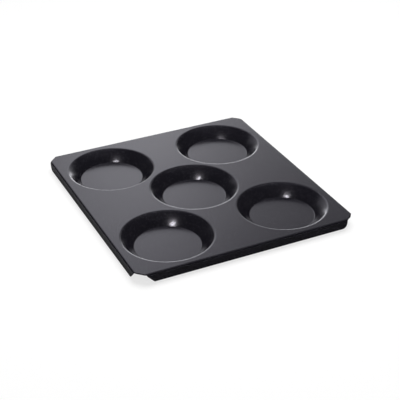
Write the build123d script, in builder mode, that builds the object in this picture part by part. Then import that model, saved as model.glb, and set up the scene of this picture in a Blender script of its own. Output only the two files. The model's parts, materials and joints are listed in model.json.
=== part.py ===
from build123d import *
import math
import os

# Multi-cavity baking pan: a folded sheet tray plate carrying five drawn round cups.
# All sizes are millimetres. The origin is the middle of the surface that the pan stands on,
# under the middle cup. X runs across the tray, Y along it and Z up.

# Tray plate
tray_width = 325.0
tray_length = 354.0
plate_sheet = 2.0
flange_height = 13.0
bend_inner_radius = 1.0
corner_cut = 14.5

# Ends of the turned-down flanges. Three corners are rounded off, and the front left one is
# cut back at a steep slant with a sharp tip. The angles are measured from the vertical.
round_end_angle = 8.0
sharp_end_angle = 43.5
round_tip_share = 0.72
sharp_tip_share = 0.08

# Cup layout: flat metal left between a corner cup and the two edges beside it,
# and between the middle cup and each corner cup
side_margin = 10.0
end_margin = 9.5
land_width = 4.8

# Cups
cup_depth = 15.5
cup_sheet = 1.5
wall_run = 17.5
mouth_roll_radius = 4.0
floor_fillet_radius = 2.5

# Seam between the plate and each cup: the plate's collar runs down the cup's wall, and the
# cup laps round the collar from below and steps back in under its edge
collar_length = 4.0
lap_clearance = 0.15
lip_clearance = 0.3

# Heights
plate_top = cup_depth + cup_sheet
plate_underside = plate_top - plate_sheet
flange_bottom = plate_top - flange_height
bend_outer_radius = bend_inner_radius + plate_sheet
flange_leg = flange_height - bend_outer_radius
cup_floor = plate_top - cup_depth

# The cup mouths are as large as the tray takes: the radius for which a corner cup keeps its
# margins to both edges and its land to the middle cup is the root of a quadratic
reach_x = tray_width / 2 - side_margin
reach_y = tray_length / 2 - end_margin
linear_term = 2 * (reach_x + reach_y + 2 * land_width)
constant_term = reach_x**2 + reach_y**2 - land_width**2
mouth_radius = (math.sqrt(linear_term**2 + 8 * constant_term) - linear_term) / 4
cup_x = reach_x - mouth_radius
cup_y = reach_y - mouth_radius
cup_places = {
    "cup_centre": (0, 0),
    "cup_front_left": (-cup_x, -cup_y),
    "cup_front_right": (cup_x, -cup_y),
    "cup_back_left": (-cup_x, cup_y),
    "cup_back_right": (cup_x, cup_y),
}

# Section of a cup, in distance from its axis and height. The straight wall is the common
# tangent of the rolled mouth above and the floor fillet below.
floor_radius = mouth_radius - wall_run
roll_centre = Vector(mouth_radius, plate_top - mouth_roll_radius)
fillet_centre = Vector(floor_radius, cup_floor + floor_fillet_radius)
centre_drop = roll_centre.Y - fillet_centre.Y
centre_distance = math.hypot(wall_run, centre_drop)
wall_slope = math.atan2(centre_drop, wall_run)
wall_slope += math.asin((mouth_roll_radius + floor_fillet_radius) / centre_distance)
wall_angle = math.degrees(wall_slope)
down_wall = Vector(-math.cos(wall_slope), -math.sin(wall_slope))
into_cup = Vector(-math.sin(wall_slope), math.cos(wall_slope))
wall_top = roll_centre + into_cup * mouth_roll_radius

# The collar ends square on the wall, and the cup's step faces that end
collar_end = wall_top + down_wall * collar_length
step_top = collar_end + down_wall * lap_clearance
step_height = plate_sheet + lap_clearance * math.sin(wall_slope)
step_foot = step_top - into_cup * step_height
under_roll_radius = mouth_roll_radius - plate_sheet
lap_centre = roll_centre + Vector(lap_clearance, 0)
lip_radius = mouth_radius + land_width / 2 - lip_clearance


def section_plane(x, y):
    """Upright plane through a cup's axis, with its sketch X pointing along world X."""
    return Plane(origin=(x, y, 0), x_dir=(1, 0, 0), z_dir=(0, -1, 0))


def collar_section(x, y):
    """Section of the plate's rolled mouth and of the short collar below it."""
    with BuildSketch(section_plane(x, y)) as section:
        with BuildLine():
            roll = CenterArc(roll_centre, mouth_roll_radius, 90, wall_angle)
            collar = Line(roll @ 1, collar_end)
            collar_tip = Line(collar @ 1, collar_end - into_cup * plate_sheet)
            under_roll = CenterArc(roll_centre, under_roll_radius, 90, wall_angle)
            Line(collar_tip @ 1, under_roll @ 1)
            Line(under_roll @ 0, roll @ 0)
        make_face()
    return section.sketch


def cup_section(x, y):
    """Section of a drawn cup: floor, fillet, wall, step, lap round the collar and flat lip."""
    with BuildSketch(section_plane(x, y)) as section:
        with BuildLine():
            Line((0, cup_floor), (floor_radius, cup_floor))
            fillet_arc = CenterArc(fillet_centre, floor_fillet_radius, 270, wall_angle)
            wall = Line(fillet_arc @ 1, step_top)
            step = Line(wall @ 1, step_foot)
            lap_roll = CenterArc(lap_centre, under_roll_radius, 90 + wall_angle, -wall_angle)
            Line(step @ 1, lap_roll @ 0)
            Line(lap_roll @ 1, (lip_radius, plate_underside))
            offset(amount=cup_sheet, side=Side.RIGHT, kind=Kind.INTERSECTION)
        make_face()
    return section.sketch


def flange_waste(outer_face, side_length, left_end, right_end):
    """What is trimmed off a flange below its bend, seen from outside the tray.

    Each end is an angle from the vertical and the tip's radius as a share of the leg.
    """
    half_length = side_length / 2 - corner_cut
    left_angle, left_share = left_end
    right_angle, right_share = right_end
    left_tip = -half_length + flange_leg * math.tan(math.radians(left_angle))
    right_tip = half_length - flange_leg * math.tan(math.radians(right_angle))
    with BuildSketch(outer_face) as waste:
        Rectangle(side_length, flange_leg, align=(Align.CENTER, Align.MIN))
        with BuildLine():
            trimmed_edge = FilletPolyline(
                (-half_length, flange_leg),
                (left_tip, 0),
                (right_tip, 0),
                (half_length, flange_leg),
                radius=[left_share * flange_leg, right_share * flange_leg],
            )
            Line(trimmed_edge @ 1, trimmed_edge @ 0)
        make_face(mode=Mode.SUBTRACT)
    return waste.sketch


round_end = (round_end_angle, round_tip_share)
sharp_end = (sharp_end_angle, sharp_tip_share)
front_face = Plane(origin=(0, -tray_length / 2, flange_bottom), x_dir=(1, 0, 0), z_dir=(0, -1, 0))
right_face = Plane(origin=(tray_width / 2, 0, flange_bottom), x_dir=(0, 1, 0), z_dir=(1, 0, 0))
back_face = Plane(origin=(0, tray_length / 2, flange_bottom), x_dir=(-1, 0, 0), z_dir=(0, 1, 0))
left_face = Plane(origin=(-tray_width / 2, 0, flange_bottom), x_dir=(0, -1, 0), z_dir=(-1, 0, 0))

os.makedirs("parts", exist_ok=True)

# Space under the tray plate, between its flanges
with BuildPart() as under_space:
    with BuildSketch(Plane.XY.offset(flange_bottom)):
        Rectangle(tray_width - 2 * plate_sheet, tray_length - 2 * plate_sheet)
    extrude(amount=flange_height - plate_sheet)
    fillet(under_space.edges().group_by(Axis.Z)[-1], radius=bend_inner_radius)

# Tray plate: the bent sheet, then its cut corners, its flange ends and its five collars
with BuildPart() as tray_plate:
    with BuildSketch(Plane.XY.offset(flange_bottom)):
        Rectangle(tray_width, tray_length)
    extrude(amount=flange_height)
    fillet(tray_plate.edges().group_by(Axis.Z)[-1], radius=bend_outer_radius)
    add(under_space.part, mode=Mode.SUBTRACT)

    with BuildSketch(Plane.XY.offset(flange_bottom)) as plan:
        Rectangle(tray_width, tray_length)
        chamfer(plan.vertices(), length=corner_cut)
    extrude(amount=flange_height, mode=Mode.INTERSECT)

    flange_sides = [
        (front_face, tray_width, sharp_end, round_end),
        (right_face, tray_length, round_end, round_end),
        (back_face, tray_width, round_end, round_end),
        (left_face, tray_length, round_end, sharp_end),
    ]
    for face, side_length, left_end, right_end in flange_sides:
        waste = flange_waste(face, side_length, left_end, right_end)
        extrude(waste, amount=-bend_outer_radius, mode=Mode.SUBTRACT)

    with BuildSketch(Plane.XY.offset(plate_underside)):
        with Locations(*cup_places.values()):
            Circle(mouth_radius)
    extrude(amount=plate_sheet, mode=Mode.SUBTRACT)
    for x, y in cup_places.values():
        revolve(collar_section(x, y), axis=Axis((x, y, 0), (0, 0, 1)))

tray_plate.part.label = "tray_plate"
export_step(tray_plate.part, "parts/tray_plate.step")

# Five cups, each drawn from its own round blank
for name, (x, y) in cup_places.items():
    with BuildPart() as cup:
        revolve(cup_section(x, y), axis=Axis((x, y, 0), (0, 0, 1)))
    cup.part.label = name
    export_step(cup.part, f"parts/{name}.step")

print(f"mouth diameter {2 * mouth_radius:.2f}, floor diameter {2 * floor_radius:.2f}")
print(f"cup pitch {2 * cup_x:.2f} by {2 * cup_y:.2f}, wall {wall_angle:.1f} degrees")
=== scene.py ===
import json
import math

import bmesh
import bpy
from mathutils import Matrix, Vector

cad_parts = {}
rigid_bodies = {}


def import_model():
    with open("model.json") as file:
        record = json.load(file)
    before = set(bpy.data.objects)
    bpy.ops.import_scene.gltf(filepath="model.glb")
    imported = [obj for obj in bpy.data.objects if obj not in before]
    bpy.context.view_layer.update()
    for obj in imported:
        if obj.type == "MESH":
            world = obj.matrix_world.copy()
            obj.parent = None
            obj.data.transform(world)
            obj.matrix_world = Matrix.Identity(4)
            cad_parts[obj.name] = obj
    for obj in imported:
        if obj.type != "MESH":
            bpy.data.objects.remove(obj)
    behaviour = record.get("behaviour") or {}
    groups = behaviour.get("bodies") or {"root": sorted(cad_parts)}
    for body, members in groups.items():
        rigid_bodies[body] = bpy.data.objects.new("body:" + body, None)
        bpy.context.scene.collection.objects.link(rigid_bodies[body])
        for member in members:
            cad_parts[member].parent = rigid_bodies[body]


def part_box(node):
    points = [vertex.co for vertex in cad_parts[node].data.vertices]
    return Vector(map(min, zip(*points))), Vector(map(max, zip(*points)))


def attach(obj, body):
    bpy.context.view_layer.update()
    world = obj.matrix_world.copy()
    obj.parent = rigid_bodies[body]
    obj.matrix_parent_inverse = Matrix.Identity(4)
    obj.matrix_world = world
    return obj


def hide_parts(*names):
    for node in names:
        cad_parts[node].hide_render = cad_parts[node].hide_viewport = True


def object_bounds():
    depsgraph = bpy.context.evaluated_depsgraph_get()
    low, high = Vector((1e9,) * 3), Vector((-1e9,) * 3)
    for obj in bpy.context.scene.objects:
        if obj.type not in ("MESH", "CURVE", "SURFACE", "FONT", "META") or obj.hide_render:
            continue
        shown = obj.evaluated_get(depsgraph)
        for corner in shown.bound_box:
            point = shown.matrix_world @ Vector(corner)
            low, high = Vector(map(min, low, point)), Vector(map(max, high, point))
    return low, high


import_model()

bl_info = {
    "name": "Multi-cavity baking pan",
    "version": (1, 0, 0),
    "blender": (4, 5, 0),
    "location": "3D View > Sidebar > Baking pan",
    "description": "Builds the dark coated tray plate and its round cups, and the studio",
    "category": "Object",
}

# The solids give the pan's outline, its heights and where the cups sit
CAD_LOW, CAD_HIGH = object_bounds()
PLATE_LOW, PLATE_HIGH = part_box("tray_plate")
CUP_LOW, CUP_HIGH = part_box("cup_centre")
CUP_NODES = ("cup_centre", "cup_front_left", "cup_front_right", "cup_back_left", "cup_back_right")

MM = 0.001

# Points closer than this, in metres, count as one
NEAR = 1e-5

# Angle of the upward direction in a section
UPRIGHT = math.pi / 2

# Steps round each arc, and width of the flat strip beside it that keeps its shading apart
BEND_STEPS = 10
ROLL_STEPS = 10
COLLAR_STEPS = 3
WALL_STEPS = 8
FILLET_STEPS = 12
TIP_STEPS = 10
SUPPORT = 1.0 * MM

# Clearance between the plate's collar and the cup that laps round it
LAP_CLEARANCE = 0.15 * MM

# An edge is shaded sharp past the first angle, and is a cut edge of the sheet past the second
SMOOTH_ANGLE = math.radians(40)
CUT_EDGE_ANGLE = math.radians(60)


def cup_axis(node):
    """Where a cup's axis stands, from the box of its solid."""
    low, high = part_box(node)
    return (low.x + high.x) / 2, (low.y + high.y) / 2


class PanSizes(bpy.types.PropertyGroup):
    """Sizes of the folded tray plate and of the drawn cups."""
    sheet: bpy.props.FloatProperty(
        name="Plate sheet", description="Thickness of the tray plate's sheet",
        default=2.0 * MM, min=0.5 * MM, unit='LENGTH')
    bend: bpy.props.FloatProperty(
        name="Bend radius", description="Outer radius of the bend above each flange",
        default=3.0 * MM, min=0.5 * MM, unit='LENGTH')
    corner_cut: bpy.props.FloatProperty(
        name="Corner cut", description="Length cut off both sides at each corner",
        default=14.5 * MM, min=4.0 * MM, unit='LENGTH')
    round_slant: bpy.props.FloatProperty(
        name="Rounded end slant", description="Slant of the three rounded flange ends",
        default=math.radians(8.0), subtype='ANGLE')
    sharp_slant: bpy.props.FloatProperty(
        name="Sharp end slant", description="Slant of the flange ends at the front left corner",
        default=math.radians(43.5), subtype='ANGLE')
    round_tip: bpy.props.FloatProperty(
        name="Rounded tip", description="Radius of a rounded flange tip",
        default=7.2 * MM, unit='LENGTH')
    sharp_tip: bpy.props.FloatProperty(
        name="Sharp tip", description="Radius of a sharp flange tip",
        default=0.8 * MM, unit='LENGTH')
    mouth: bpy.props.FloatProperty(
        name="Mouth radius", description="Where the plate starts to roll down into a cup",
        default=65.3 * MM, unit='LENGTH')
    mouth_roll: bpy.props.FloatProperty(
        name="Mouth roll", description="Radius of the rolled mouth",
        default=6.0 * MM, unit='LENGTH')
    collar: bpy.props.FloatProperty(
        name="Collar length", description="How far the plate's collar runs down the wall",
        default=4.0 * MM, unit='LENGTH')
    cup_depth: bpy.props.FloatProperty(
        name="Cup depth", description="From the plate's top to the cup's floor",
        default=15.5 * MM, unit='LENGTH')
    cup_sheet: bpy.props.FloatProperty(
        name="Cup sheet", description="Thickness of a cup's sheet",
        default=1.5 * MM, unit='LENGTH')
    top_slope: bpy.props.FloatProperty(
        name="Wall slope, top", description="Slope of the flared wall below the rolled mouth",
        default=math.radians(36.0), subtype='ANGLE')
    foot_slope: bpy.props.FloatProperty(
        name="Wall slope, foot", description="Slope of the flared wall above the floor fillet",
        default=math.radians(47.5), subtype='ANGLE')
    floor_fillet: bpy.props.FloatProperty(
        name="Floor fillet", description="Radius between the floor and the wall",
        default=2.0 * MM, unit='LENGTH')
    sheared_edge: bpy.props.FloatProperty(
        name="Sheared edge", description="How far a cut edge of the sheet is broken",
        default=0.3 * MM, unit='LENGTH')
    segments: bpy.props.IntProperty(
        name="Segments round a cup", description="Sides of each turned ring",
        default=160, min=32)


class PanFinish(bpy.types.PropertyGroup):
    """Colours of the coating."""
    dark: bpy.props.FloatVectorProperty(
        name="Coating", description="Main colour of the coating",
        subtype='COLOR', size=3, default=(0.0040, 0.0036, 0.0060), min=0.0, max=1.0)
    pale: bpy.props.FloatVectorProperty(
        name="Coating, thin", description="Colour where the coating lies thinner",
        subtype='COLOR', size=3, default=(0.0062, 0.0057, 0.0088), min=0.0, max=1.0)
    fleck: bpy.props.FloatVectorProperty(
        name="Flecks", description="Colour of the fine metallic flecks",
        subtype='COLOR', size=3, default=(0.11, 0.105, 0.12), min=0.0, max=1.0)


class Studio(bpy.types.PropertyGroup):
    """The camera and the floor."""
    focal_pixels: bpy.props.FloatProperty(
        name="Focal length in pixels", description="For a picture 400 pixels wide",
        default=1055.6)
    heading: bpy.props.FloatProperty(
        name="Camera heading", description="From +Y towards +X",
        default=math.radians(25.118), subtype='ANGLE')
    elevation: bpy.props.FloatProperty(
        name="Camera elevation", description="How steeply the camera looks down",
        default=math.radians(30.654), subtype='ANGLE')
    roll: bpy.props.FloatProperty(
        name="Camera roll", description="Small lean of the camera",
        default=math.radians(-0.694), subtype='ANGLE')
    distance: bpy.props.FloatProperty(
        name="Camera distance", description="From the aim point on the plate",
        default=1.486, unit='LENGTH')
    aim: bpy.props.FloatVectorProperty(
        name="Aim point", description="Where the camera looks on the plate's top",
        subtype='TRANSLATION', size=2, default=(-0.0093, -0.0392))
    floor_colour: bpy.props.FloatVectorProperty(
        name="Floor", description="Colour of the floor",
        subtype='COLOR', size=3, default=(0.95, 0.95, 0.95), min=0.0, max=1.0)


# Modelling helpers

def deselect_all():
    """Nothing stays selected, so that an operator acts only on what is picked next."""
    if bpy.context.mode != 'OBJECT':
        bpy.ops.object.mode_set(mode='OBJECT')
    bpy.ops.object.select_all(action='DESELECT')


def start_piece(name):
    """The primitive just added becomes a named piece, open in edit mode."""
    piece = bpy.context.object
    piece.name = name
    piece.data.name = name
    bpy.ops.object.transform_apply(location=True, rotation=True, scale=True)
    bpy.ops.object.mode_set(mode='EDIT')
    return piece


def pick(piece, mode, test):
    """In edit mode, selects only the vertices, edges or faces that pass the test."""
    bpy.ops.mesh.select_mode(type=mode)
    bpy.ops.mesh.select_all(action='DESELECT')
    mesh = bmesh.from_edit_mesh(piece.data)
    items = {'VERT': mesh.verts, 'EDGE': mesh.edges, 'FACE': mesh.faces}[mode]
    count = 0
    for item in items:
        if test(item):
            item.select_set(True)
            count += 1
    mesh.select_flush_mode()
    bmesh.update_edit_mesh(piece.data)
    if not count:
        raise RuntimeError(f"nothing to pick on {piece.name}")


def grow_edges(step):
    """Extrudes the picked edges by a step."""
    bpy.ops.mesh.extrude_edges_move(TRANSFORM_OT_translate={"value": tuple(step)})


def turn(section, axis):
    """Grows the picked ring of edges through a section of (radius, height) points."""
    for (radius, height), (next_radius, next_height) in zip(section, section[1:]):
        grow_edges((0, 0, next_height - height))
        share = next_radius / radius
        bpy.ops.transform.resize(value=(share, share, 1), center_override=(*axis, next_height))


def apply_modifier(piece, name, kind, **settings):
    """Adds a modifier with its settings and applies it, in object mode."""
    modifier = piece.modifiers.new(name, kind)
    for key, value in settings.items():
        setattr(modifier, key, value)
    bpy.ops.object.modifier_apply(modifier=modifier.name)


def finish_piece(piece):
    """Sets the shading and the place of a finished piece."""
    bpy.ops.object.mode_set(mode='OBJECT')
    bpy.ops.object.shade_smooth_by_angle(angle=SMOOTH_ANGLE)
    apply_modifier(piece, "even shading", 'WEIGHTED_NORMAL', keep_sharp=True)
    bpy.ops.object.transform_apply(location=True, rotation=True, scale=True)
    piece.select_set(False)


# Section of a cup, in distance from its axis and height

def along(start, length, slope):
    """The point that lies off a start, square to a wall of that slope and up from it."""
    return start[0] - length * math.sin(slope), start[1] + length * math.cos(slope)


def arc(centre, radius, start, end, steps):
    """Points on an arc of a section, without its first point."""
    points = []
    for k in range(1, steps + 1):
        angle = start + (end - start) * k / steps
        points.append((centre[0] + radius * math.cos(angle), centre[1] + radius * math.sin(angle)))
    return points


class CupShape:
    """The section that the collar and the cup share, worked out from the sizes."""

    def __init__(self, sizes):
        roll, fillet = sizes.mouth_roll, sizes.floor_fillet
        top_slope, foot_slope = sizes.top_slope, sizes.foot_slope
        self.top = PLATE_HIGH.z
        self.floor = self.top - sizes.cup_depth
        self.mouth = sizes.mouth

        # The flared wall is an arc between two slopes, as large as the depth leaves for it
        rest = sizes.cup_depth - roll * (1 - math.cos(top_slope))
        rest -= fillet * (1 - math.cos(foot_slope))
        self.flare = rest / (math.cos(top_slope) - math.cos(foot_slope))
        self.roll_centre = (self.mouth, self.top - roll)
        self.wall_centre = along(self.roll_centre, roll - self.flare, top_slope)
        self.fillet_centre = along(self.wall_centre, self.flare + fillet, foot_slope)
        self.floor_radius = self.fillet_centre[0]

        # The collar ends square on the wall, whose slope and ways are these there
        self.slope = top_slope + sizes.collar / self.flare
        self.collar_end = along(self.wall_centre, self.flare, self.slope)
        self.down = (-math.cos(self.slope), -math.sin(self.slope))
        self.inward = (-math.sin(self.slope), math.cos(self.slope))

    def beside(self, point, down, outward):
        """The point moved down the wall and out through it, as the wall runs at the collar."""
        return (point[0] + self.down[0] * down - self.inward[0] * outward,
                point[1] + self.down[1] * down - self.inward[1] * outward)


def collar_section(sizes, shape):
    """The plate's top side round a cup: a flat strip, the rolled mouth and the collar."""
    roll_end = UPRIGHT + sizes.top_slope
    section = [(shape.mouth + SUPPORT, shape.top), (shape.mouth, shape.top)]
    section += arc(shape.roll_centre, sizes.mouth_roll, UPRIGHT, roll_end, ROLL_STEPS)
    section += arc(shape.wall_centre, shape.flare, roll_end, UPRIGHT + shape.slope, COLLAR_STEPS)
    return section


def cup_section(sizes, shape):
    """A cup's section, up its inside to the lip and back down its underside."""
    sheet = sizes.cup_sheet
    floor_edge = shape.floor_radius - SUPPORT
    lip = (CUP_HIGH.x - CUP_LOW.x) / 2
    lip_top = shape.top - sizes.sheet
    lap_centre = (shape.roll_centre[0] + LAP_CLEARANCE, shape.roll_centre[1])
    lap_radius = sizes.mouth_roll - sizes.sheet
    step_drop = sizes.sheet + LAP_CLEARANCE * math.sin(shape.slope)
    step_foot = shape.beside(shape.collar_end, 0, step_drop)
    foot, collar_foot = UPRIGHT + sizes.foot_slope, UPRIGHT + shape.slope
    fillet_top = -UPRIGHT + sizes.foot_slope

    # Inside: floor, fillet, wall up to the collar, step, lap round the collar and lip
    section = [(floor_edge, shape.floor), (shape.floor_radius, shape.floor)]
    section += arc(shape.fillet_centre, sizes.floor_fillet, -UPRIGHT, fillet_top, FILLET_STEPS)
    section += arc(shape.wall_centre, shape.flare, foot, collar_foot, WALL_STEPS)
    section += [step_foot]
    section += arc(lap_centre, lap_radius, collar_foot, collar_foot, 1)
    section += arc(lap_centre, lap_radius, collar_foot, UPRIGHT, ROLL_STEPS)
    section += [(lip, lip_top)]

    # Underside: the same forms one sheet further out
    section += [(lip, lip_top - sheet)]
    section += arc(lap_centre, lap_radius - sheet, UPRIGHT, collar_foot, ROLL_STEPS)
    section += [shape.beside(step_foot, sheet, sheet)]
    section += [shape.beside(shape.collar_end, sheet, sheet)]
    section += arc(shape.wall_centre, shape.flare - sheet, collar_foot, foot, WALL_STEPS)
    section += arc(shape.fillet_centre, sizes.floor_fillet + sheet, fillet_top, -UPRIGHT,
                   FILLET_STEPS)
    section += [(floor_edge, shape.floor - sheet)]
    return section


class PAN_OT_tray_plate(bpy.types.Operator):
    """Make the folded tray plate with its cut corners, flanges and five rolled mouths"""
    bl_idname = "baking_pan.tray_plate"
    bl_label = "Tray plate"

    def execute(self, context):
        sizes = context.scene.pan_sizes
        top = PLATE_HIGH.z
        inner_x = PLATE_HIGH.x - sizes.bend - SUPPORT
        inner_y = PLATE_HIGH.y - sizes.bend - SUPPORT

        # Flat middle of the plate
        deselect_all()
        bpy.ops.mesh.primitive_plane_add(size=2, location=(0, 0, top))
        plate = start_piece("coated_tray_plate")
        bpy.ops.transform.resize(value=(inner_x, inner_y, 1), center_override=(0, 0, top))

        self.bend_flanges(plate, sizes, inner_x, inner_y)
        self.cut_corners(sizes)
        self.shape_flange_ends(plate, sizes)
        self.open_mouths(plate, sizes, inner_x, inner_y)
        self.thicken(plate, sizes)
        self.break_cut_edges(plate, sizes)
        finish_piece(plate)
        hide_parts("tray_plate")
        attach(plate, "root")
        return {'FINISHED'}

    def bend_flanges(self, plate, sizes, inner_x, inner_y):
        """Grows a bend and a flange along each side of the flat middle."""
        top = PLATE_HIGH.z
        for outward in ((1, 0), (-1, 0), (0, 1), (0, -1)):
            side = Vector((*outward, 0))
            edge = inner_x if outward[0] else inner_y

            def on_side(item):
                return all(abs(v.co.dot(side) - edge) < NEAR and abs(v.co.z - top) < NEAR
                           for v in item.verts)

            pick(plate, 'EDGE', on_side)
            grow_edges(side * SUPPORT)
            last = Vector((0, 0, 0))
            for k in range(1, BEND_STEPS + 1):
                angle = math.pi / 2 * k / BEND_STEPS
                here = side * sizes.bend * math.sin(angle)
                here.z = sizes.bend * (math.cos(angle) - 1)
                grow_edges(here - last)
                last = here
            grow_edges((0, 0, -SUPPORT))
            grow_edges((0, 0, PLATE_LOW.z - top + sizes.bend + SUPPORT))

    def cut_corners(self, sizes):
        """Cuts the four corners at 45 degrees."""
        cut_at = PLATE_HIGH.x + PLATE_HIGH.y - sizes.corner_cut
        for x_way in (-1, 1):
            for y_way in (-1, 1):
                bpy.ops.mesh.select_mode(type='VERT')
                bpy.ops.mesh.select_all(action='SELECT')
                bpy.ops.mesh.bisect(
                    plane_co=(x_way * cut_at / 2, y_way * cut_at / 2, 0),
                    plane_no=(x_way, y_way, 0), clear_outer=True)

    def shape_flange_ends(self, plate, sizes):
        """Slants each flange end inwards below its bend and rounds its tip."""
        foot = PLATE_HIGH.z - sizes.bend
        leg = foot - PLATE_LOW.z
        for across in (0, 1):
            face_at = PLATE_HIGH[across]
            end_at = PLATE_HIGH[1 - across] - sizes.corner_cut
            for face_way in (-1, 1):
                for end_way in (-1, 1):
                    sharp = face_way < 0 and end_way < 0
                    slant = sizes.sharp_slant if sharp else sizes.round_slant
                    tip = sizes.sharp_tip if sharp else sizes.round_tip
                    inward = Vector((0, 0, 0))
                    inward[1 - across] = -end_way

                    def at_end(height):
                        def test(vert):
                            return (abs(vert.co[across] - face_way * face_at) < NEAR
                                    and abs(vert.co[1 - across] - end_way * end_at) < NEAR
                                    and abs(vert.co.z - height) < NEAR)
                        return test

                    for below in (SUPPORT, leg):
                        pick(plate, 'VERT', at_end(foot - below))
                        bpy.ops.transform.translate(value=inward * below * math.tan(slant))
                    turned = math.pi / 2 + slant
                    bpy.ops.mesh.bevel(
                        affect='VERTICES', offset_type='OFFSET', segments=TIP_STEPS,
                        offset=tip / math.tan(turned / 2))

    def open_mouths(self, plate, sizes, inner_x, inner_y):
        """Cuts the five mouths, rolls their edges down and closes the plate round them."""
        pick(plate, 'FACE', lambda face: face.calc_area() > inner_x * inner_y)
        bpy.ops.mesh.delete(type='ONLY_FACE')
        shape = CupShape(sizes)
        section = collar_section(sizes, shape)
        for node in CUP_NODES:
            axis = cup_axis(node)
            bpy.ops.mesh.select_mode(type='EDGE')
            bpy.ops.mesh.select_all(action='DESELECT')
            bpy.ops.mesh.primitive_circle_add(
                vertices=sizes.segments, radius=section[0][0], fill_type='NOTHING',
                location=(*axis, shape.top))
            turn(section, axis)

        def bounds_plate(edge):
            return len(edge.link_faces) < 2 and all(
                abs(v.co.z - shape.top) < NEAR and abs(v.co.x) < inner_x + NEAR
                and abs(v.co.y) < inner_y + NEAR for v in edge.verts)

        pick(plate, 'EDGE', bounds_plate)
        bpy.ops.mesh.fill(use_beauty=True)

    def thicken(self, plate, sizes):
        """Joins the skin up, faces it outwards and gives it the sheet's thickness."""
        bpy.ops.mesh.select_all(action='SELECT')
        bpy.ops.mesh.remove_doubles(threshold=NEAR)
        bpy.ops.mesh.normals_make_consistent(inside=False)
        mesh = bmesh.from_edit_mesh(plate.data)
        flat = max(mesh.faces, key=lambda face: face.calc_area())
        if flat.normal.z < 0:
            bpy.ops.mesh.flip_normals()
        bpy.ops.object.mode_set(mode='OBJECT')
        apply_modifier(plate, "sheet", 'SOLIDIFY', thickness=sizes.sheet, offset=-1,
                       use_even_offset=True)

    def break_cut_edges(self, plate, sizes):
        """Bevels the sheet's cut edges, apart from the collars' ends inside the cups."""
        axes = [cup_axis(node) for node in CUP_NODES]
        mouth = sizes.mouth

        def cut_edge(edge):
            middle = (edge.verts[0].co + edge.verts[1].co) / 2
            in_cup = any(math.hypot(middle.x - x, middle.y - y) < mouth for x, y in axes)
            return not in_cup and edge.calc_face_angle(0) > CUT_EDGE_ANGLE

        bpy.ops.object.mode_set(mode='EDIT')
        pick(plate, 'EDGE', cut_edge)
        bpy.ops.transform.edge_bevelweight(value=1.0)
        bpy.ops.object.mode_set(mode='OBJECT')
        apply_modifier(plate, "sheared edges", 'BEVEL', width=sizes.sheared_edge, segments=2,
                       limit_method='WEIGHT', use_clamp_overlap=False)


class PAN_OT_cups(bpy.types.Operator):
    """Turn one drawn cup with its lap, step, wall and floor, and place five copies of it"""
    bl_idname = "baking_pan.cups"
    bl_label = "Cups"

    def execute(self, context):
        sizes = context.scene.pan_sizes
        shape = CupShape(sizes)
        section = cup_section(sizes, shape)
        deselect_all()
        bpy.ops.mesh.primitive_circle_add(
            vertices=sizes.segments, radius=section[0][0], fill_type='NGON',
            location=(0, 0, shape.floor))
        cup = start_piece("coated_cup_centre")
        pick(cup, 'EDGE', lambda edge: True)
        turn(section, (0, 0))
        bpy.ops.mesh.edge_face_add()
        bpy.ops.mesh.select_all(action='SELECT')
        bpy.ops.mesh.normals_make_consistent(inside=False)
        finish_piece(cup)

        for node in CUP_NODES:
            placed = cup
            if node != CUP_NODES[0]:
                placed = cup.copy()
                placed.data = cup.data.copy()
                placed.name = "coated_" + node
                placed.data.name = placed.name
                context.collection.objects.link(placed)
            deselect_all()
            placed.select_set(True)
            context.view_layer.objects.active = placed
            placed.location = (*cup_axis(node), 0)
            bpy.ops.object.transform_apply(location=True, rotation=True, scale=True)
            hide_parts(node)
            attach(placed, "root")
        return {'FINISHED'}


# Material helpers

def feed(tree, node, inputs):
    """Sets a node's inputs, each to a plain value or to another node's output."""
    for key, value in inputs.items():
        if isinstance(value, bpy.types.NodeSocket):
            tree.links.new(value, node.inputs[key])
        else:
            node.inputs[key].default_value = value


def add_node(tree, kind, place, inputs=None, **settings):
    """Adds a node at a place in the tree, with its settings and its inputs."""
    node = tree.nodes.new(kind)
    node.location = place
    for key, value in settings.items():
        setattr(node, key, value)
    feed(tree, node, inputs or {})
    return node


# The coating mirrors strongly and faintly violet, a little less sharply where it is pale
COATING_IOR = 2.0
MIRROR_TINT = (0.87, 0.86, 1.0, 1)
ROUGHNESS_DARK = 0.17
ROUGHNESS_PALE = 0.22

# Detail in the coating, as features per metre
GRAIN_SCALES = {"Cloud Scale": 40.0, "Peel Scale": 1400.0, "Fleck Scale": 1500.0}
WAVE_SCALE = 14.0

# How strongly the sheet's slow waves and the coating's peel tilt the surface, and their height
WAVE_STRENGTH, WAVE_HEIGHT = 0.35, 0.4 * MM
PEEL_STRENGTH, PEEL_HEIGHT = 0.25, 0.05 * MM

# A cell's fleck starts to show at the first value of chance, and is full at the second. It is
# gone at the first distance from the cell's own point, and full within the second.
FLECK_CHANCE = (0.86, 0.97)
FLECK_EDGE = (0.45, 0.15)

# How far the pattern moves across from one piece to the next
PATTERN_STEP = (0.37, 0.91)


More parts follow.
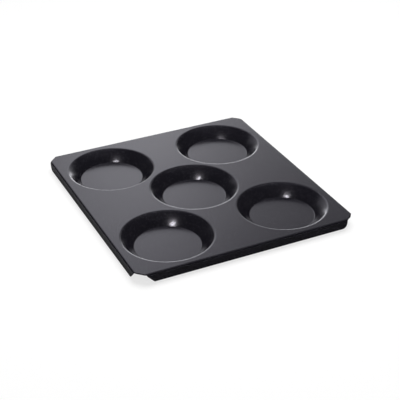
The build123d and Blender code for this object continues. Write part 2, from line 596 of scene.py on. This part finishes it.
def coating_grain():
    """Node group: the coating's fine orange peel, soft clouds and metallic flecks."""
    group = bpy.data.node_groups.get("coating_grain")
    if group:
        return group
    group = bpy.data.node_groups.new("coating_grain", 'ShaderNodeTree')
    sockets = group.interface
    sockets.new_socket("Vector", in_out='INPUT', socket_type='NodeSocketVector')
    for name, scale in GRAIN_SCALES.items():
        socket = sockets.new_socket(name, in_out='INPUT', socket_type='NodeSocketFloat')
        socket.default_value = scale
    for name in ("Cloud", "Peel", "Fleck"):
        sockets.new_socket(name, in_out='OUTPUT', socket_type='NodeSocketFloat')
    given = add_node(group, "NodeGroupInput", (-800, 0)).outputs

    cloud = add_node(group, "ShaderNodeTexNoise", (-500, 300), {
        "Vector": given["Vector"], "Scale": given["Cloud Scale"], "Detail": 4.0,
        "Roughness": 0.55})
    peel = add_node(group, "ShaderNodeTexNoise", (-500, 0), {
        "Vector": given["Vector"], "Scale": given["Peel Scale"], "Detail": 2.0})
    cells = add_node(group, "ShaderNodeTexVoronoi", (-500, -300), {
        "Vector": given["Vector"], "Scale": given["Fleck Scale"]}, feature='F1')
    chance = add_node(group, "ShaderNodeSeparateColor", (-250, -450), {
        "Color": cells.outputs["Color"]})
    few = add_node(group, "ShaderNodeMapRange", (-50, -450), {
        "Value": chance.outputs["Red"],
        "From Min": FLECK_CHANCE[0], "From Max": FLECK_CHANCE[1]})
    close = add_node(group, "ShaderNodeMapRange", (-50, -150), {
        "Value": cells.outputs["Distance"],
        "From Min": FLECK_EDGE[0], "From Max": FLECK_EDGE[1]})
    fleck = add_node(group, "ShaderNodeMath", (200, -250), {
        0: few.outputs["Result"], 1: close.outputs["Result"]}, operation='MULTIPLY')
    add_node(group, "NodeGroupOutput", (500, 0), {
        "Cloud": cloud.outputs["Fac"], "Peel": peel.outputs["Fac"],
        "Fleck": fleck.outputs["Value"]})
    return group


def coating(name, finish, shift):
    """The dark satin coating, in object coordinates shifted so that no two pieces match."""
    material = bpy.data.materials.new(name)
    material.use_nodes = True
    tree = material.node_tree
    where = add_node(tree, "ShaderNodeTexCoord", (-1300, 0))
    shifted = add_node(tree, "ShaderNodeMapping", (-1100, 0), {
        "Vector": where.outputs["Object"], "Location": shift})
    grain = add_node(tree, "ShaderNodeGroup", (-850, 0), {
        "Vector": shifted.outputs["Vector"]}, node_tree=coating_grain())

    tone = add_node(tree, "ShaderNodeMix", (-550, 350), {
        "A": (*finish.dark, 1), "B": (*finish.pale, 1),
        "Factor": grain.outputs["Cloud"]}, data_type='RGBA')
    flecked = add_node(tree, "ShaderNodeMix", (-300, 350), {
        "A": tone.outputs["Result"], "B": (*finish.fleck, 1),
        "Factor": grain.outputs["Fleck"]}, data_type='RGBA')
    rough = add_node(tree, "ShaderNodeMapRange", (-300, 50), {
        "Value": grain.outputs["Cloud"],
        "To Min": ROUGHNESS_DARK, "To Max": ROUGHNESS_PALE})

    waves = add_node(tree, "ShaderNodeTexNoise", (-850, -300), {
        "Vector": shifted.outputs["Vector"], "Scale": WAVE_SCALE, "Detail": 1.0})
    broad = add_node(tree, "ShaderNodeBump", (-550, -300), {
        "Strength": WAVE_STRENGTH, "Distance": WAVE_HEIGHT, "Height": waves.outputs["Fac"]})
    fine = add_node(tree, "ShaderNodeBump", (-300, -300), {
        "Strength": PEEL_STRENGTH, "Distance": PEEL_HEIGHT, "Height": grain.outputs["Peel"],
        "Normal": broad.outputs["Normal"]})
    feed(tree, tree.nodes["Principled BSDF"], {
        "Base Color": flecked.outputs["Result"], "Roughness": rough.outputs["Result"],
        "Normal": fine.outputs["Normal"], "IOR": COATING_IOR, "Specular Tint": MIRROR_TINT})
    return material


class PAN_OT_coating(bpy.types.Operator):
    """Coat the tray plate and the cups"""
    bl_idname = "baking_pan.coating"
    bl_label = "Coating"

    def execute(self, context):
        finish = context.scene.pan_finish
        for k, node in enumerate(("tray_plate", *CUP_NODES)):
            piece = bpy.data.objects["coated_" + node]
            shift = (PATTERN_STEP[0] * k, PATTERN_STEP[1] * k, 0)
            piece.data.materials.clear()
            piece.data.materials.append(coating("coating_" + piece.name, finish, shift))
        return {'FINISHED'}


# Studio, in metres and degrees. Headings count from the camera's own, to its right.

# The floor, and the share of plain white that the camera sees in it, which pales its shadow
FLOOR_SIZE = 12
FLOOR_ROUGHNESS = 0.9
FLOOR_WHITE = 0.75

# Each lamp's heading, elevation, distance, sides, watts, colour, and whether the pan mirrors it
LAMPS = {
    "high_box": (200, 55, 5.0, (0.80, 0.15), 20.0, (1.0, 0.97, 0.92), True),
    "top_box": (10, 80, 1.8, (1.6, 1.6), 44.0, (1.0, 1.0, 1.0), False),
}

# The dark room's dim level, and a glow in it: heading, elevation, angles from its middle to
# its edge and to its core, and strength
ROOM_DIM = 0.035
ROOM_GLOW = (23, 72, 35, 14, 0.15)

# The card behind the pan: its distance, its size and its dim level
CARD_DISTANCE = 1.5
CARD_SIZE = 3.4
CARD_DIM = 0.02
# Soft patches of light on it: place across, height, half width, half height and strength
CARD_PATCHES = (
    (-0.19, 0.65, 0.30, 0.62, 0.88),
    (-0.70, 1.48, 0.38, 1.02, 0.44),
    (0.34, 0.00, 0.58, 0.74, 0.85),
    (-1.35, 1.40, 2.00, 1.70, 0.26),
)
# Slanted lines below which the patches are dark: slope, height in the middle and softness
CARD_FOOT = ((-0.75, -0.18, 0.20), (1.0, -0.13, 0.30))
# Bright patch low on the card, which the near rims mirror
CARD_STRIP = (0.0, 0.08, 0.34, 0.20, 4.3)

# The dark card under the pan: its size, its height over the floor, where across the pan it
# changes, and its shade to the left of that and to the right
DARK_CARD_SIZE = 1.0
DARK_CARD_HEIGHT = 0.1 * MM
DARK_CARD_CHANGE = (-0.175, -0.155)
DARK_CARD_SHADES = (0.15, 0.05)

# Width of the picture in pixels and of the camera's sensor in millimetres
PICTURE_WIDTH = 400.0
SENSOR_WIDTH = 36.0

# Height of a row of nodes in the card's tree
ROW = 250


def bearing(heading, elevation):
    """Unit vector at a heading, counted from +Y towards +X, and an elevation, in radians."""
    return Vector((math.sin(heading) * math.cos(elevation),
                   math.cos(heading) * math.cos(elevation), math.sin(elevation)))


def softbox(name, way, distance, size, watts, colour, mirrored):
    """A rectangular lamp that faces the pan from one way, hidden from the camera."""
    deselect_all()
    bpy.ops.object.light_add(type='AREA', location=way * distance)
    lamp = bpy.context.object
    lamp.name = name
    lamp.rotation_euler = (-way).to_track_quat('-Z', 'Y').to_euler()
    lamp.data.shape = 'RECTANGLE'
    lamp.data.size, lamp.data.size_y = size
    lamp.data.energy = watts
    lamp.data.color = colour
    lamp.visible_camera = False
    lamp.visible_glossy = mirrored


def stage_card(name, finish, size, location, rotation=(0, 0, 0)):
    """A flat square card that only reflections show. Gives its material's node tree."""
    deselect_all()
    bpy.ops.mesh.primitive_plane_add(size=size, location=location, rotation=rotation)
    card = bpy.context.object
    card.name = name
    card.visible_camera = False
    card.visible_diffuse = False
    card.visible_transmission = False
    card.visible_shadow = False
    material = bpy.data.materials.new(finish)
    material.use_nodes = True
    card.data.materials.append(material)
    return material.node_tree


def soft_patches(tree, where, patches, row):
    """Adds up patches of light on the card that fade out softly round their middles."""
    total = 0.0
    for across, height, wide, high, strength in patches:
        off = add_node(tree, "ShaderNodeVectorMath", (-200, row), {
            0: where, 1: (across, height - CARD_SIZE / 2, 0)}, operation='SUBTRACT')
        share = add_node(tree, "ShaderNodeVectorMath", (0, row), {
            0: off.outputs["Vector"], 1: (wide, high, 1)}, operation='DIVIDE')
        square = add_node(tree, "ShaderNodeVectorMath", (200, row), {
            0: share.outputs["Vector"], 1: share.outputs["Vector"]}, operation='DOT_PRODUCT')
        minus = add_node(tree, "ShaderNodeMath", (400, row), {
            0: square.outputs["Value"], 1: -1.0}, operation='MULTIPLY')
        fade = add_node(tree, "ShaderNodeMath", (600, row), {
            0: minus.outputs["Value"]}, operation='EXPONENT')
        patch = add_node(tree, "ShaderNodeMath", (800, row), {
            0: fade.outputs["Value"], 1: strength, 2: total}, operation='MULTIPLY_ADD')
        total = patch.outputs["Value"]
        row -= ROW
    return total


class PAN_OT_studio(bpy.types.Operator):
    """Set up the pale floor, the dim room with its cards, the soft lamps and the camera"""
    bl_idname = "baking_pan.studio"
    bl_label = "Studio"

    def execute(self, context):
        scene = context.scene
        studio = scene.pan_studio
        scene.view_settings.view_transform = 'Standard'
        self.lay_floor(studio)
        self.light_room(scene, studio.heading)
        self.stand_backdrop(studio.heading)
        for name, (turned, raised, *lamp) in LAMPS.items():
            way = bearing(studio.heading + math.radians(turned), math.radians(raised))
            softbox(name, way, *lamp)
        self.lay_dark_card()
        self.place_camera(scene, studio)
        return {'FINISHED'}

    def lay_floor(self, studio):
        """A pale matt floor that keeps the pan's shadow."""
        deselect_all()
        bpy.ops.mesh.primitive_plane_add(size=FLOOR_SIZE, location=(0, 0, CAD_LOW.z))
        floor = bpy.context.object
        floor.name = "floor"
        paint = bpy.data.materials.new("floor_paint")
        paint.use_nodes = True
        tree = paint.node_tree
        surface = tree.nodes["Principled BSDF"]
        feed(tree, surface, {
            "Base Color": (*studio.floor_colour, 1), "Roughness": FLOOR_ROUGHNESS,
            "Specular IOR Level": 0.0})
        white = add_node(tree, "ShaderNodeEmission", (0, -450))
        path = add_node(tree, "ShaderNodeLightPath", (-200, 600))
        part = add_node(tree, "ShaderNodeMath", (0, 500), {
            0: path.outputs["Is Camera Ray"], 1: FLOOR_WHITE}, operation='MULTIPLY')
        blend = add_node(tree, "ShaderNodeMixShader", (350, 0), {
            0: part.outputs["Value"], 1: surface.outputs["BSDF"],
            2: white.outputs["Emission"]})
        feed(tree, tree.nodes["Material Output"], {"Surface": blend.outputs["Shader"]})
        floor.data.materials.append(paint)

    def light_room(self, scene, heading):
        """A dim room with one soft glow high up in it, which the camera sees as plain white."""
        world = bpy.data.worlds.new("studio_world")
        scene.world = world
        world.use_nodes = True
        tree = world.node_tree
        tree.nodes.clear()
        turned, raised, edge, core, strength = ROOM_GLOW
        way = add_node(tree, "ShaderNodeTexCoord", (-600, -150))
        near = add_node(tree, "ShaderNodeVectorMath", (-400, -150), {
            0: way.outputs["Generated"],
            1: bearing(heading + math.radians(turned), math.radians(raised))},
            operation='DOT_PRODUCT')
        glow = add_node(tree, "ShaderNodeMapRange", (-150, -150), {
            "Value": near.outputs["Value"],
            "From Min": math.cos(math.radians(edge)), "From Max": math.cos(math.radians(core)),
            "To Min": ROOM_DIM, "To Max": ROOM_DIM + strength},
            interpolation_type='SMOOTHSTEP')
        room = add_node(tree, "ShaderNodeBackground", (100, -100), {
            "Color": (1, 1, 1, 1), "Strength": glow.outputs["Result"]})
        white = add_node(tree, "ShaderNodeBackground", (100, 100), {
            "Color": (1, 1, 1, 1), "Strength": 1.0})
        path = add_node(tree, "ShaderNodeLightPath", (-150, 400))
        choose = add_node(tree, "ShaderNodeMixShader", (350, 0), {
            0: path.outputs["Is Camera Ray"], 1: room.outputs["Background"],
            2: white.outputs["Background"]})
        add_node(tree, "ShaderNodeOutputWorld", (600, 0), {"Surface": choose.outputs["Shader"]})

    def stand_backdrop(self, heading):
        """A tall card behind the pan, lit in soft patches."""
        middle = bearing(heading, 0) * CARD_DISTANCE
        middle.z = CARD_SIZE / 2
        tree = stage_card("backdrop_card", "backdrop_glow", CARD_SIZE, middle,
                          (math.pi / 2, 0, -heading))
        tree.nodes.clear()
        where = add_node(tree, "ShaderNodeTexCoord", (-400, 0)).outputs["Object"]
        light = soft_patches(tree, where, CARD_PATCHES, 0)
        row = -ROW * len(CARD_PATCHES)
        for slope, height, softness in CARD_FOOT:
            rise = add_node(tree, "ShaderNodeVectorMath", (400, row), {
                0: where, 1: (-slope, 1, 0)}, operation='DOT_PRODUCT')
            level = height - CARD_SIZE / 2
            clear = add_node(tree, "ShaderNodeMapRange", (600, row), {
                "Value": rise.outputs["Value"],
                "From Min": level - softness / 2, "From Max": level + softness / 2},
                interpolation_type='SMOOTHSTEP')
            lit = add_node(tree, "ShaderNodeMath", (800, row), {
                0: light, 1: clear.outputs["Result"]}, operation='MULTIPLY')
            light = lit.outputs["Value"]
            row -= ROW
        strip = soft_patches(tree, where, (CARD_STRIP,), ROW)
        both = add_node(tree, "ShaderNodeMath", (1000, 0), {
            0: light, 1: strip}, operation='ADD')
        dim = add_node(tree, "ShaderNodeMath", (1200, 0), {
            0: both.outputs["Value"], 1: CARD_DIM}, operation='ADD')
        glow = add_node(tree, "ShaderNodeEmission", (1400, 0), {
            "Strength": dim.outputs["Value"]})
        add_node(tree, "ShaderNodeOutputMaterial", (1600, 0), {
            "Surface": glow.outputs["Emission"]})

    def lay_dark_card(self):
        """A dark card on the floor, as under a studio product, and paler on its left."""
        tree = stage_card("dark_card", "dark_felt", DARK_CARD_SIZE,
                          (0, 0, CAD_LOW.z + DARK_CARD_HEIGHT))
        where = add_node(tree, "ShaderNodeTexCoord", (-800, 0))
        split = add_node(tree, "ShaderNodeSeparateXYZ", (-600, 0), {
            "Vector": where.outputs["Object"]})
        shade = add_node(tree, "ShaderNodeMapRange", (-400, 0), {
            "Value": split.outputs["X"],
            "From Min": DARK_CARD_CHANGE[0], "From Max": DARK_CARD_CHANGE[1],
            "To Min": DARK_CARD_SHADES[0], "To Max": DARK_CARD_SHADES[1]})
        feed(tree, tree.nodes["Principled BSDF"], {
            "Base Color": shade.outputs["Result"], "Roughness": 1.0,
            "Specular IOR Level": 0.0})

    def place_camera(self, scene, studio):
        """Puts the camera where the photograph was taken from."""
        heading, roll = studio.heading, studio.roll
        ahead = bearing(heading, -studio.elevation)
        level = Vector((math.cos(heading), -math.sin(heading), 0))
        upward = level.cross(ahead)
        right = level * math.cos(roll) + upward * math.sin(roll)
        above = upward * math.cos(roll) - level * math.sin(roll)
        spot = Vector((*studio.aim, PLATE_HIGH.z)) - ahead * studio.distance
        deselect_all()
        bpy.ops.object.camera_add(location=spot)
        camera = bpy.context.object
        camera.name = "camera"
        turned = Matrix((right, above, -ahead)).transposed().to_4x4()
        camera.matrix_world = Matrix.Translation(spot) @ turned
        camera.data.sensor_width = SENSOR_WIDTH
        camera.data.lens = studio.focal_pixels * SENSOR_WIDTH / PICTURE_WIDTH
        scene.camera = camera


class PAN_PT_panel(bpy.types.Panel):
    """Lists the steps that build the pan"""
    bl_label = "Baking pan"
    bl_idname = "PAN_PT_panel"
    bl_space_type = 'VIEW_3D'
    bl_region_type = 'UI'
    bl_category = "Baking pan"

    def draw(self, context):
        layout = self.layout
        for step in STEPS:
            layout.operator(step.bl_idname)
        scene = context.scene
        for group in (scene.pan_sizes, scene.pan_finish, scene.pan_studio):
            box = layout.box()
            for key in group.__annotations__:
                box.prop(group, key)


STEPS = (PAN_OT_tray_plate, PAN_OT_cups, PAN_OT_coating, PAN_OT_studio)
CLASSES = (PanSizes, PanFinish, Studio, *STEPS, PAN_PT_panel)


def register():
    """Registers the classes and hangs the sizes, the finish and the studio on the scene."""
    for cls in CLASSES:
        bpy.utils.register_class(cls)
    bpy.types.Scene.pan_sizes = bpy.props.PointerProperty(type=PanSizes)
    bpy.types.Scene.pan_finish = bpy.props.PointerProperty(type=PanFinish)
    bpy.types.Scene.pan_studio = bpy.props.PointerProperty(type=Studio)


def unregister():
    """Takes away what register added, in the opposite order."""
    del bpy.types.Scene.pan_studio
    del bpy.types.Scene.pan_finish
    del bpy.types.Scene.pan_sizes
    for cls in reversed(CLASSES):
        bpy.utils.unregister_class(cls)


def main():
    """Registers the add-on and builds every piece and the studio."""
    register()
    bpy.ops.baking_pan.tray_plate()
    bpy.ops.baking_pan.cups()
    bpy.ops.baking_pan.coating()
    bpy.ops.baking_pan.studio()


if __name__ == "__main__":
    main()
